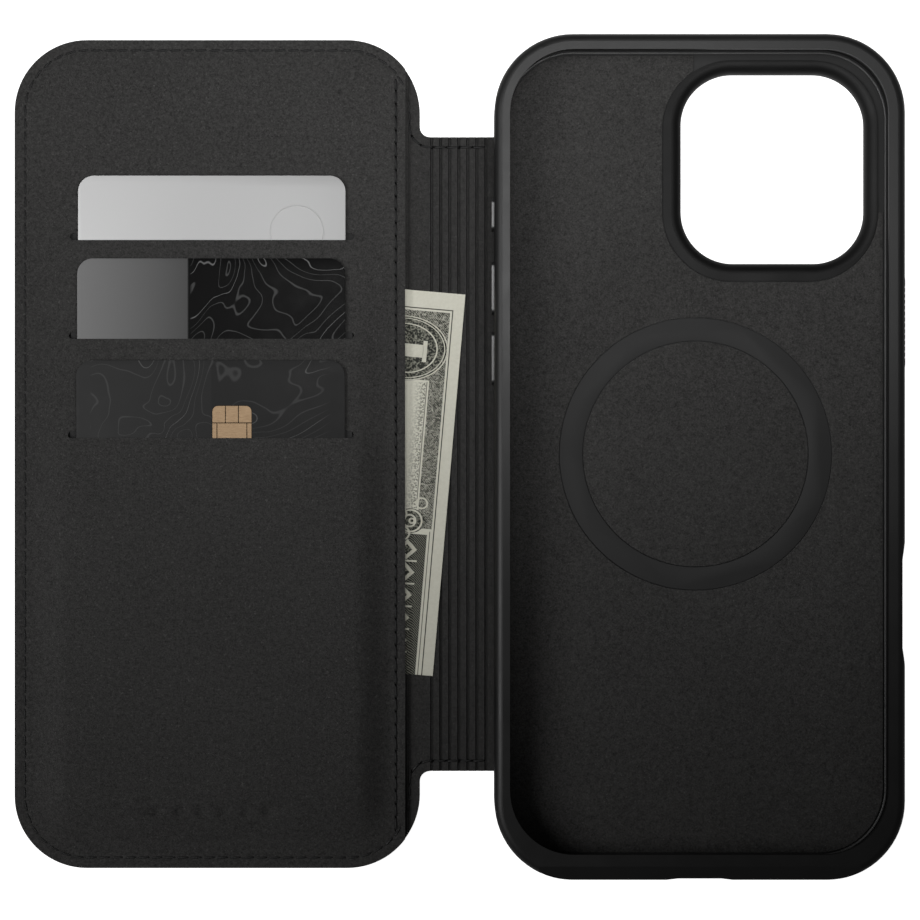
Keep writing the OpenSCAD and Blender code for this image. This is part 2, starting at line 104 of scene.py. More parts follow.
# Ribbed spine: the grooves, counted from the tray, and the one at which the two halves meet
GROOVES = [tray_low.x - (1.6 + 1.83 * k) * MM for k in range(7)]
GROOVE_MOUTH, GROOVE_FOOT, GROOVE_DEEP = 0.3 * MM, 0.13 * MM, 0.34 * MM
RIB_EDGE = 0.6 * MM
SPLIT = GROOVES[5]
LINING_END = tray_low.x + 0.2 * MM

# Stretches either side of each fold line, cut into extra rows
TRAY_BEND = 1.25 * MM
COVER_BEND = 1.9 * MM

# The lining climbs on to the cover's board over a slope that starts here and runs to the board's edge
CLIMB = 1.2 * MM
board_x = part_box("cover_board")[1].x + CLIMB

# Stitching
PITCH = 2.66 * MM
SEAM_IN = 2.1 * MM
VALLEY = 0.35 * MM
VALLEY_DEEP = 0.1 * MM
EDGE_SEAM_IN = 1.85 * MM

# The smooth ring in the tray's floor
RING_WIDE = 4.6 * MM

# Card slits, from the top one down
slot_x = (CARDS["upper_card"][0].x + CARDS["upper_card"][1].x) / 2
slit_pitch = middle_liner[1].y - lower_liner[1].y
SLIT_TOPS = [middle_liner[1].y + slit_pitch * (1 - k) for k in range(3)]
SLIT_H = 1.4 * MM
SLIT_HALF = 28.7 * MM
tier_step = (panel_high.z - panel_border) / 3
SIDE_RAMP = 8 * MM
FOOT_TOP = CARDS["lower_card"][0].y - 0.85 * MM
FOOT_RAMP = 12.4 * MM

# The folded note, and how far it leans over
NOTE_WIDE, NOTE_LONG = 66.3 * MM, 77.6 * MM
NOTE_LEAN = math.radians(4.9)


# Selecting and shaping in edit mode


def deselect():
    bpy.ops.object.select_all(action="DESELECT")


def hold(piece):
    """Makes a piece the only selected and active object."""
    deselect()
    piece.select_set(True)
    bpy.context.view_layer.objects.active = piece


@contextmanager
def editing(piece):
    hold(piece)
    bpy.ops.object.mode_set(mode="EDIT")
    yield
    bpy.ops.object.mode_set(mode="OBJECT")


def pick(piece, kind, wanted):
    """Selects what wanted(middle, normal) is true for, of one kind, and says how many there are."""
    bpy.ops.mesh.select_mode(type=kind)
    bpy.ops.mesh.select_all(action="DESELECT")
    mesh = bmesh.from_edit_mesh(piece.data)
    found = 0
    for item in {"VERT": mesh.verts, "EDGE": mesh.edges, "FACE": mesh.faces}[kind]:
        if kind == "VERT":
            place, normal = item.co, item.normal
        elif kind == "EDGE":
            place, normal = (item.verts[0].co + item.verts[1].co) / 2, None
        else:
            place, normal = item.calc_center_median(), item.normal
        if wanted(place, normal):
            item.select_set(True)
            found += 1
    mesh.select_flush_mode()
    bmesh.update_edit_mesh(piece.data)
    return found


def cut(axis, places, **clear):
    """Cuts the whole mesh square to an axis at each place."""
    for place in places:
        point = [0, 0, 0]
        normal = [0, 0, 0]
        point[axis] = place
        normal[axis] = 1
        bpy.ops.mesh.select_all(action="SELECT")
        bpy.ops.mesh.bisect(plane_co=point, plane_no=normal, threshold=1e-7, **clear)


def shift(x=0.0, y=0.0, z=0.0):
    bpy.ops.transform.translate(value=(x, y, z))


def round_corners(piece, places, radius, segments=14):
    """Rounds the corners of a flat outline at the given places."""
    spots = [Vector((p[0], p[1])) for p in places]
    pick(piece, "VERT", lambda co, n: any((co.xy - spot).length < NEAR for spot in spots))
    bpy.ops.mesh.bevel(offset=radius, offset_type="OFFSET", segments=segments, affect="VERTICES")


def finish_with(piece, kind, **settings):
    """Adds a modifier and applies it."""
    hold(piece)
    modifier = piece.modifiers.new(kind.title(), kind)
    for key, value in settings.items():
        setattr(modifier, key, value)
    bpy.ops.object.modifier_apply(modifier=modifier.name)


def soften(piece, degrees=35):
    hold(piece)
    bpy.ops.object.shade_smooth_by_angle(angle=math.radians(degrees))


def ease_edges(piece, width, segments=2, degrees=50):
    finish_with(piece, "BEVEL", width=width, segments=segments, limit_method="ANGLE",
                angle_limit=math.radians(degrees), harden_normals=False)


def flat_panel(name, low, high, z):
    """A rectangular face between two corners."""
    deselect()
    middle = ((low[0] + high[0]) / 2, (low[1] + high[1]) / 2, z)
    bpy.ops.mesh.primitive_plane_add(size=1, location=middle)
    piece = bpy.context.active_object
    piece.name = name
    piece.scale = (high[0] - low[0], high[1] - low[1], 1)
    bpy.ops.object.transform_apply(location=True, rotation=True, scale=True)
    return piece


def rounded_plate(name, low, high, radius, z0, z1, segments=14):
    """A plate with round corners, from z0 up to z1."""
    piece = flat_panel(name, low, high, z0)
    with editing(piece):
        bpy.ops.mesh.select_all(action="SELECT")
        bpy.ops.mesh.bevel(offset=radius, offset_type="OFFSET", segments=segments, affect="VERTICES")
        bpy.ops.mesh.select_all(action="SELECT")
        bpy.ops.mesh.extrude_region_move(TRANSFORM_OT_translate={"value": (0, 0, z1 - z0)})
        bpy.ops.mesh.select_all(action="SELECT")
        bpy.ops.mesh.normals_make_consistent(inside=False)
    return piece


def cylinder(name, middle, radius, z0, z1, vertices=96):
    deselect()
    place = (middle[0], middle[1], (z0 + z1) / 2)
    bpy.ops.mesh.primitive_cylinder_add(vertices=vertices, radius=radius, depth=z1 - z0, location=place)
    piece = bpy.context.active_object
    piece.name = name
    bpy.ops.object.transform_apply(location=True, rotation=True, scale=True)
    return piece


def take_away(piece, cutter):
    """Cuts a shape out of a piece and clears the cutter away."""
    finish_with(piece, "BOOLEAN", object=cutter, operation="DIFFERENCE", solver="EXACT")
    bpy.data.objects.remove(cutter)


def join(pieces, name):
    hold(pieces[0])
    for piece in pieces[1:]:
        piece.select_set(True)
    bpy.ops.object.join()
    pieces[0].name = name
    return pieces[0]


def twin(piece, name):
    """A copy of a piece with its own mesh."""
    copy = piece.copy()
    copy.data = piece.data.copy()
    copy.name = name
    bpy.context.scene.collection.objects.link(copy)
    return copy


def smooth(t):
    t = min(max(t, 0.0), 1.0)
    return t * t * (3 - 2 * t)


# Materials


def node(tree, kind, feeds=None, **settings):
    """Adds a node, sets its properties, and feeds its inputs with numbers, colours or sockets."""
    made = tree.nodes.new(kind)
    for key, value in settings.items():
        setattr(made, key, value)
    for key, value in (feeds or {}).items():
        if isinstance(value, bpy.types.NodeSocket):
            tree.links.new(value, made.inputs[key])
        else:
            made.inputs[key].default_value = value
    return made


def sum_up(tree, operation, *values):
    return node(tree, "ShaderNodeMath", dict(enumerate(values)), operation=operation).outputs[0]


def stretch(tree, value, low, high, to_low, to_high):
    """Maps a range of values on to another, held at its ends."""
    feeds = {"Value": value, "From Min": low, "From Max": high, "To Min": to_low, "To Max": to_high}
    return node(tree, "ShaderNodeMapRange", feeds).outputs["Result"]


def mix(tree, amount, first, second):
    made = node(tree, "ShaderNodeMix", data_type="RGBA")
    for socket, value in ((made.inputs[0], amount), (made.inputs[6], first), (made.inputs[7], second)):
        if isinstance(value, bpy.types.NodeSocket):
            tree.links.new(value, socket)
        else:
            socket.default_value = value
    return made.outputs[2]


def grey(value, warmth=0.0):
    return (value * (1 + warmth), value, value * (1 - warmth), 1)


def finish(name, **constants):
    """A new material, with its shader and the piece's own coordinates."""
    material = bpy.data.materials.new(name)
    material.use_nodes = True
    tree = material.node_tree
    shader = tree.nodes["Principled BSDF"]
    for key, value in constants.items():
        shader.inputs[key.replace("_", " ")].default_value = value
    place = node(tree, "ShaderNodeTexCoord").outputs["Object"]
    return material, tree, shader, place


def noise(tree, place, scale, detail=2.0, rough=0.55, distortion=0.0):
    feeds = {"Vector": place, "Scale": scale, "Detail": detail, "Roughness": rough,
             "Distortion": distortion}
    return node(tree, "ShaderNodeTexNoise", feeds).outputs["Fac"]


def bump(tree, shader, height, strength, distance):
    feeds = {"Height": height, "Strength": strength, "Distance": distance}
    made = node(tree, "ShaderNodeBump", feeds)
    tree.links.new(made.outputs["Normal"], shader.inputs["Normal"])


def paint(tree, shader, colour, roughness=None):
    tree.links.new(colour, shader.inputs["Base Color"])
    if roughness is not None:
        tree.links.new(roughness, shader.inputs["Roughness"])


def microfibre(name, tone, nap=1.0):
    """Brushed microfibre: a short nap with fine grain, soft clouds and a few pale fibre ends."""
    material, tree, shader, place = finish(name, Sheen_Weight=0.1, Sheen_Roughness=0.45,
                                           Specular_IOR_Level=0.1)
    grain = noise(tree, place, 3000, 3.0, 0.75)
    tuft = noise(tree, place, 1200, 2.0, 0.6)
    cloud = noise(tree, place, 55, 3.0, 0.6, 0.4)
    speck = stretch(tree, noise(tree, place, 2100, 1.0, 0.5), 0.68, 0.74, 0.0, 0.7)
    blend = sum_up(tree, "ADD", stretch(tree, grain, 0.3, 0.7, -0.5 * nap, 0.5 * nap),
                   stretch(tree, tuft, 0.3, 0.7, -0.2 * nap, 0.2 * nap))
    blend = sum_up(tree, "ADD", blend, stretch(tree, cloud, 0.3, 0.7, -0.05, 0.05))
    blend = sum_up(tree, "ADD", blend, speck)
    level = sum_up(tree, "ADD", sum_up(tree, "MULTIPLY", blend, 0.5), 0.5)
    colour = mix(tree, level, grey(tone * 0.1, 0.02), grey(tone * 2.4, 0.02))
    paint(tree, shader, colour, stretch(tree, grain, 0.2, 0.8, 0.85, 1.0))
    height = sum_up(tree, "ADD", grain, sum_up(tree, "MULTIPLY", tuft, 0.6))
    bump(tree, shader, height, 0.5 * nap, 0.12 * MM)
    return material


def grained_leather(name, tone):
    """Full grain leather: small uneven pebbles with fine creases between them."""
    material, tree, shader, place = finish(name, Specular_IOR_Level=0.45)
    warp = noise(tree, place, 260, 2.0)
    feeds = {"Vector": place, "Scale": 850, "Randomness": 1.0}
    pebble = node(tree, "ShaderNodeTexVoronoi", feeds, feature="DISTANCE_TO_EDGE").outputs["Distance"]
    crease = stretch(tree, pebble, 0.0, 0.16, 0.0, 1.0)
    cloud = noise(tree, place, 40, 3.0, 0.6, 0.5)
    pore = noise(tree, place, 3800, 2.0)
    level = sum_up(tree, "MULTIPLY", crease, stretch(tree, cloud, 0.3, 0.7, 0.75, 1.0))
    colour = mix(tree, level, grey(tone * 0.55, 0.06), grey(tone * 1.25, 0.05))
    paint(tree, shader, colour, stretch(tree, sum_up(tree, "ADD", warp, pore), 0.7, 1.3, 0.42, 0.62))
    height = sum_up(tree, "ADD", crease, sum_up(tree, "MULTIPLY", pore, 0.3))
    bump(tree, shader, height, 0.3, 0.09 * MM)
    return material


def edge_paint(name):
    """Painted cut edge of the leather: smooth, with slight waves."""
    material, tree, shader, place = finish(name, Specular_IOR_Level=0.4)
    wave = noise(tree, place, 500, 2.0)
    colour = mix(tree, wave, grey(0.006), grey(0.016))
    paint(tree, shader, colour, stretch(tree, wave, 0.3, 0.7, 0.4, 0.55))
    bump(tree, shader, wave, 0.2, 0.1 * MM)
    return material


def moulded(name, tone, rough, texture=0.5, specular=0.5):
    """Moulded rubber or plastic with a fine spark-eroded texture and faint handling marks."""
    material, tree, shader, place = finish(name, Specular_IOR_Level=specular)
    spark = noise(tree, place, 5200, 2.0, 0.7)
    wipe = noise(tree, place, 90, 4.0, 0.6, 0.6)
    colour = mix(tree, wipe, grey(tone * 0.85), grey(tone * 1.15))
    paint(tree, shader, colour, stretch(tree, wipe, 0.3, 0.7, rough - 0.04, rough + 0.05))
    bump(tree, shader, spark, 0.25 * texture, 0.05 * MM)
    return material


def anodised(name, tone, rough):
    """Anodised metal with a bead blasted face."""
    material, tree, shader, place = finish(name, Metallic=1.0)
    bead = noise(tree, place, 6500, 2.0, 0.7)
    wear = noise(tree, place, 420, 3.0)
    colour = mix(tree, wear, grey(tone * 0.9), grey(tone * 1.1))
    paint(tree, shader, colour, stretch(tree, bead, 0.3, 0.7, rough - 0.05, rough + 0.07))
    bump(tree, shader, bead, 0.15, 0.03 * MM)
    return material


def waxed_thread(name, tone):
    """Twisted thread with a little wax on it."""
    material, tree, shader, place = finish(name, Specular_IOR_Level=0.35)
    feeds = {"Vector": place, "Rotation": (0, 0, math.radians(40))}
    turned = node(tree, "ShaderNodeMapping", feeds).outputs[0]
    feeds = {"Vector": turned, "Scale": 1500.0, "Distortion": 0.6, "Detail": 1.0}
    twist = node(tree, "ShaderNodeTexWave", feeds).outputs["Fac"]
    colour = mix(tree, twist, grey(tone * 0.5), grey(tone * 1.4))
    paint(tree, shader, colour, stretch(tree, twist, 0.0, 1.0, 0.5, 0.7))
    bump(tree, shader, twist, 0.4, 0.06 * MM)
    return material


def painted_hole_shade(name):
    """Painted shade for the needle's holes, a little mottled; the chip's own dark gaps between its pads
    use it too.
    """
    material, tree, shader, place = finish(name, Specular_IOR_Level=0.05)
    shade_mottle = noise(tree, place, 4000, 2.0)
    paint(tree, shader, mix(tree, shade_mottle, grey(0.0015), grey(0.005)), stretch(tree, shade_mottle, 0, 1, 0.9, 1.0))
    return material


def millboard(name):
    """Grey stiffening board with paper fibres."""
    material, tree, shader, place = finish(name)
    fibre = noise(tree, place, 900, 4.0, 0.7, 1.5)
    colour = mix(tree, fibre, grey(0.08, 0.05), grey(0.16, 0.08))
    paint(tree, shader, colour, stretch(tree, fibre, 0, 1, 0.8, 0.95))
    bump(tree, shader, fibre, 0.2, 0.1 * MM)
    return material


def woven_liner(name, tone):
    """Plain woven liner cloth."""
    material, tree, shader, place = finish(name, Sheen_Weight=0.15)
    feeds = {"Vector": place, "Scale": 900.0}
    across = node(tree, "ShaderNodeTexWave", feeds, bands_direction="X").outputs["Fac"]
    down = node(tree, "ShaderNodeTexWave", feeds, bands_direction="Y").outputs["Fac"]
    weave = sum_up(tree, "MULTIPLY", across, down)
    colour = mix(tree, weave, grey(tone * 0.5), grey(tone * 1.4))
    paint(tree, shader, colour, stretch(tree, weave, 0, 1, 0.8, 0.95))
    bump(tree, shader, weave, 0.4, 0.1 * MM)
    return material


def pale_metal(name):
    """Bead blasted pale metal card, with a painted reflection that makes it a touch darker towards one
    side.
    """
    material, tree, shader, place = finish(name, Metallic=0.1, Specular_IOR_Level=0.3)
    low, high = CARDS["upper_card"]
    across = node(tree, "ShaderNodeSeparateXYZ", {0: place}).outputs["X"]
    across_card = stretch(tree, across, low.x, high.x, 0.0, 1.0)
    bead = noise(tree, place, 5000, 2.0, 0.7)
    # Painted reflection: the colour runs from pale at one side of the card to darker at the other.
    colour = mix(tree, across_card, grey(0.66), grey(0.4))
    paint(tree, shader, colour, stretch(tree, bead, 0.3, 0.7, 0.42, 0.5))
    bump(tree, shader, bead, 0.08, 0.02 * MM)
    return material


def contour_card(name, grounds, meet, lines, pale, seed):
    """Printed card: one ground at the left and another at the right, with fine height lines."""
    material, tree, shader, place = finish(name, Specular_IOR_Level=0.08)
    low, high = CARDS["middle_card"]
    across = node(tree, "ShaderNodeSeparateXYZ", {0: place}).outputs["X"]
    across_card = stretch(tree, across, low.x, high.x, 0.0, 1.0)
    left = mix(tree, stretch(tree, across_card, 0.0, meet, 0.0, 1.0), grey(grounds[0]), grey(grounds[1]))
    split = stretch(tree, across_card, meet, meet + 0.006, 0.0, 1.0)
    ground = mix(tree, split, left, grey(grounds[2]))
    moved = node(tree, "ShaderNodeMapping", {"Vector": place, "Location": (seed, seed * 2, 0)}).outputs[0]
    hills = noise(tree, moved, 42, 2.5, 0.5, 0.5)
    steps = sum_up(tree, "MULTIPLY", hills, 26.0)
    ridge = sum_up(tree, "ABSOLUTE", sum_up(tree, "SUBTRACT", sum_up(tree, "FRACT", steps), 0.5))
    line = stretch(tree, ridge, 0.02, 0.06, 1.0, 0.0)
    fourth = sum_up(tree, "FRACT", sum_up(tree, "MULTIPLY", sum_up(tree, "FLOOR", steps), 0.25))
    bold = stretch(tree, fourth, 0.0, 0.2, 1.0, 0.4)
    inside = sum_up(tree, "MULTIPLY", stretch(tree, across_card, lines[0], lines[0] + 0.01, 0.0, 1.0),
                    stretch(tree, across_card, lines[1] - 0.05, lines[1], 1.0, 0.0))
    amount = sum_up(tree, "MULTIPLY", sum_up(tree, "MULTIPLY", line, bold), inside)
    colour = mix(tree, amount, ground, grey(pale))
    scuff = noise(tree, place, 300, 3.0)
    paint(tree, shader, colour, stretch(tree, scuff, 0.3, 0.7, 0.45, 0.55))
    bump(tree, shader, noise(tree, place, 5000, 1.0), 0.05, 0.02 * MM)
    return material


def contact_gold(name):
    """Brushed contact pads, pale gold."""
    material, tree, shader, place = finish(name, Metallic=0.75)
    brushed = node(tree, "ShaderNodeMapping", {"Vector": place, "Scale": (1, 12, 1)}).outputs[0]
    streak = noise(tree, brushed, 700, 3.0)
    colour = mix(tree, streak, (0.26, 0.16, 0.09, 1), (0.5, 0.36, 0.22, 1))
    paint(tree, shader, colour, stretch(tree, streak, 0.3, 0.7, 0.36, 0.48))
    bump(tree, shader, streak, 0.05, 0.02 * MM)
    return material


def nickel(name):
    material, tree, shader, place = finish(name, Metallic=1.0)
    cloud = noise(tree, place, 800, 3.0)
    colour = mix(tree, cloud, grey(0.45), grey(0.62))
    paint(tree, shader, colour, stretch(tree, cloud, 0.3, 0.7, 0.2, 0.35))
    return material


def note_paper(name, middle, turn, half_w, half_l):
    """Cream note paper with dark engraved bands and a double frame, all of plain ornament."""
    material, tree, shader, place = finish(name, Specular_IOR_Level=0.2)
    feeds = {"Vector": place, "Location": (-middle[0], -middle[1], 0)}
    moved = node(tree, "ShaderNodeMapping", feeds).outputs[0]
    turned = node(tree, "ShaderNodeMapping", {"Vector": moved, "Rotation": (0, 0, turn)}).outputs[0]
    split = node(tree, "ShaderNodeSeparateXYZ", {0: turned})
    # Distances in from the long edge and down from the open end
    from_edge = sum_up(tree, "SUBTRACT", half_w, split.outputs["X"])
    from_top = sum_up(tree, "SUBTRACT", half_l, split.outputs["Y"])

    def band(value, start, end):
        """1 between two distances in millimetres, with a crisp edge."""
        soft = 0.05 * MM
        rise = stretch(tree, value, start * MM - soft, start * MM + soft, 0.0, 1.0)
        fall = stretch(tree, value, end * MM - soft, end * MM + soft, 1.0, 0.0)
        return sum_up(tree, "MULTIPLY", rise, fall)

    def times(*values):
        product = values[0]
        for value in values[1:]:
            product = sum_up(tree, "MULTIPLY", product, value)
        return product

    ink = times(band(from_edge, 2.15, 2.35), band(from_top, 3.4, 90))
    scroll = noise(tree, turned, 620, 3.0, 0.6, 3.0)
    scroll = sum_up(tree, "ABSOLUTE", sum_up(tree, "SUBTRACT", scroll, 0.5))
    scroll = stretch(tree, scroll, 0.012, 0.05, 0.35, 1.0)
    hatch = node(tree, "ShaderNodeTexWave", {"Vector": turned, "Scale": 1300.0, "Distortion": 3.0,
                                             "Detail": 2.0}, bands_direction="DIAGONAL").outputs["Fac"]
    hatch = stretch(tree, hatch, 0.2, 0.5, 0.72, 1.0)
    stipple = stretch(tree, noise(tree, turned, 2600, 1.0), 0.46, 0.54, 0.0, 0.75)
    fade = stretch(tree, from_edge, 6.4 * MM, 8.8 * MM, 1.0, 0.1)
    prints = (
        times(band(from_top, 3.4, 3.6), band(from_edge, 2.15, 40)),
        times(band(from_edge, 2.75, 40), band(from_top, 4.0, 18.0), scroll, hatch),
        times(band(from_edge, 2.75, 5.8), band(from_top, 17.9, 48), scroll, hatch),
        times(band(from_edge, 6.15, 6.3), band(from_top, 18.3, 44), 0.9),
        times(band(from_edge, 6.4, 9.5), band(from_top, 18.5, 44), stipple, fade),
        times(band(from_edge, 3.0, 3.15), band(from_top, 48.5, 90), 0.9),
        times(band(from_edge, 3.6, 40), band(from_top, 49.2, 90), hatch),
    )
    for layer in prints:
        ink = sum_up(tree, "MAXIMUM", ink, layer)
    fibre = noise(tree, place, 1800, 3.0, 0.7)
    paper = mix(tree, fibre, (0.56, 0.55, 0.46, 1), (0.7, 0.69, 0.6, 1))
    colour = mix(tree, ink, paper, (0.02, 0.022, 0.017, 1))
    paint(tree, shader, colour, stretch(tree, fibre, 0, 1, 0.75, 0.95))
    bump(tree, shader, sum_up(tree, "ADD", fibre, sum_up(tree, "MULTIPLY", ink, 0.8)), 0.15, 0.04 * MM)
    return material


def plain_paper(name):
    """The unprinted cream of the note, for what stands out of the dark ground."""
    material, tree, shader, place = finish(name, Specular_IOR_Level=0.2)
    fibre = noise(tree, place, 1800, 3.0, 0.7)
    paper = mix(tree, fibre, (0.5, 0.49, 0.4, 1), (0.7, 0.69, 0.6, 1))
    paint(tree, shader, paper, stretch(tree, fibre, 0, 1, 0.75, 0.95))
    return material


def engraving_ink(name):
    """Dark green-black ink that stands a little off the paper."""
    material, tree, shader, place = finish(name, Specular_IOR_Level=0.25)
    bite = stretch(tree, noise(tree, place, 2400, 2.0), 0.45, 0.6, 0.0, 1.0)
    paint(tree, shader, mix(tree, bite, (0.012, 0.014, 0.01, 1), (0.22, 0.22, 0.18, 1)),
          stretch(tree, bite, 0, 1, 0.6, 0.8))
    return material


LINING = microfibre("microfibre_lining", 0.03)
RIBBED = microfibre("microfibre_spine", 0.027, 0.8)
LEATHER = grained_leather("black_leather", 0.02)
EDGE = edge_paint("painted_edge")
RUBBER = moulded("soft_touch_bumper", 0.008, 0.45, 0.6, 0.42)
RING = moulded("satin_ring", 0.005, 0.5, 0.4, 0.15)
PLATE = moulded("moulded_plate", 0.012, 0.6, 0.5, 0.3)
RIM = moulded("floor_rim", 0.05, 0.4, 0.5)
RING_COVER = moulded("smooth_ring_cover", 0.022, 0.7, 0.5, 0.3)
THREAD = waxed_thread("waxed_thread", 0.012)
HOLE_SHADE_AND_PAD_GAPS = painted_hole_shade("needle_hole_shade_and_pad_gaps")
BOARD = millboard("stiffening_board")
LINER = woven_liner("liner_cloth", 0.02)
BUTTON = anodised("grey_anodised", 0.1, 0.4)
POWER = anodised("black_anodised", 0.04, 0.35)
GOLD = contact_gold("contact_pads")
NICKEL = nickel("nickel_plate")
INK = engraving_ink("engraving_ink")
CREAM = plain_paper("note_cream")
SILVER_CARD = pale_metal("pale_metal_card")
GREY_CARD = contour_card("grey_printed_card", (0.2, 0.08, 0.003), 0.41, (0.42, 1.2), 0.13, 3.1)
BLACK_CARD = contour_card("black_printed_card", (0.035, 0.028, 0.024), 0.5, (0.05, 0.95), 0.09, 7.7)

# The rigid CAD nodes that show as they are, each with its finish
CARRIED = {
    "bumper_frame": RUBBER, "back_plate": PLATE, "camera_ring": RING, "ring_magnets": NICKEL,
    "alignment_magnet": NICKEL, "action_button": BUTTON, "volume_up_button": BUTTON,
    "volume_down_button": BUTTON, "power_button": POWER, "cover_board": BOARD, "pocket_backing": LINER,
    "middle_card_liner": LINER, "lower_card_liner": LINER,
}


def clothe(piece, *materials):
    piece.data.materials.clear()
    for material in materials:
        piece.data.materials.append(material)


def give_second(piece, wanted):
    """Gives the faces that are wanted the piece's second material."""
    with editing(piece):
        pick(piece, "FACE", wanted)
        piece.active_material_index = 1
        bpy.ops.object.material_slot_assign()


# Outer leather


def cover_with_strip(name, z, inset, strip_end):
    """Outline of the cover with the spine's strip out to strip_end, as one face."""
    low = (cover_low.x + inset, cover_low.y + inset)
    high = (cover_high.x - inset, cover_high.y - inset)
    half = spine_half - inset
    piece = flat_panel(name, low, high, z)
    with editing(piece):
        cut(ALONG, (middle_y - half, middle_y + half))
        pick(piece, "EDGE", lambda co, n: abs(co.x - high[0]) < NEAR and abs(co.y - middle_y) < half)
        bpy.ops.mesh.extrude_region_move(TRANSFORM_OT_translate={"value": (strip_end - high[0], 0, 0)})
    return piece


def melt_to_outline(piece):
    """Melts the inner edges away, which leaves one face."""
    bpy.ops.mesh.select_all(action="SELECT")
    bpy.ops.mesh.normals_make_consistent(inside=False)
    bpy.ops.mesh.dissolve_limited(angle_limit=math.radians(1))
    if pick(piece, "FACE", lambda co, n: n.z < 0):
        bpy.ops.mesh.flip_normals()


def round_cover(piece, inset):
    low = (cover_low.x + inset, cover_low.y + inset)
    high = (cover_high.x - inset, cover_high.y - inset)
    half = spine_half - inset
    corners = [(x, y) for x in (low[0], high[0]) for y in (low[1], high[1])]
    round_corners(piece, corners, CORNER - inset, 20)
    round_corners(piece, [(high[0], middle_y + s * half) for s in (-1, 1)], FILLET + inset, 8)


def outer_leather():
    """The one piece of leather that runs from under the tray round the spine to the cover, in two halves
    that meet in the middle of the spine."""
    wing = tray_low.x + 0.8 * MM
    piece = cover_with_strip("leather", leather_top, 0.0, wing)
    with editing(piece):
        pick(piece, "EDGE", lambda co, n: abs(co.x - wing) < NEAR)
        bpy.ops.mesh.extrude_region_move(TRANSFORM_OT_translate={"value": (back_high.x - wing, 0, 0)})
        for edge_y, end_y in ((middle_y + spine_half, back_high.y), (middle_y - spine_half, back_low.y)):
            pick(piece, "EDGE", lambda co, n: abs(co.y - edge_y) < NEAR and co.x > wing + NEAR)
            bpy.ops.mesh.extrude_region_move(TRANSFORM_OT_translate={"value": (0, end_y - edge_y, 0)})
        melt_to_outline(piece)
        round_cover(piece, 0.0)
        corners = [(x, y) for x in (wing, back_high.x) for y in (back_low.y, back_high.y)]
        round_corners(piece, corners, 14.8 * MM, 18)
    finish_with(piece, "SOLIDIFY", thickness=leather_top - leather_bottom, offset=-1)
    neck = 2.45 * MM
    wide, narrow = 3.8 * MM, 2.5 * MM
    hole = rounded_plate("neck_cutter", (ring_low.x + wide - neck, ring_low.y + wide - neck),
                         (ring_high.x - narrow + neck, ring_high.y - narrow + neck), 12.95 * MM,
                         leather_bottom - MM, leather_top + MM)
    take_away(piece, hole)
    ease_edges(piece, 0.22 * MM, 3)
    with editing(piece):
        bends = [(FOLD_X["spine_fold"], TRAY_BEND), (FOLD_X["cover_fold"], COVER_BEND)]
        for x, reach in bends:
            cut(SIDEWAYS, [x + reach * k / 5 for k in range(-5, 6)])
    clothe(piece, LEATHER, EDGE)
    give_second(piece, lambda co, n: abs(n.z) < 0.6)
    tray_half = twin(piece, "tray_leather")
    piece.name = "cover_leather_wrap"
    with editing(tray_half):
        cut(SIDEWAYS, [SPLIT], clear_inner=True, use_fill=True)
    with editing(piece):
        cut(SIDEWAYS, [SPLIT], clear_outer=True, use_fill=True)
    for half in (piece, tray_half):
        soften(half)
    bend_at_tray(tray_half)
    bend_at_cover(piece)
    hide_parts("back_leather")
    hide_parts("cover_leather", "spine_leather")


def bend_at_tray(piece):
    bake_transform(piece)


def bend_at_cover(piece):
    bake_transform(piece)


# Lining of the spine and the cover's base


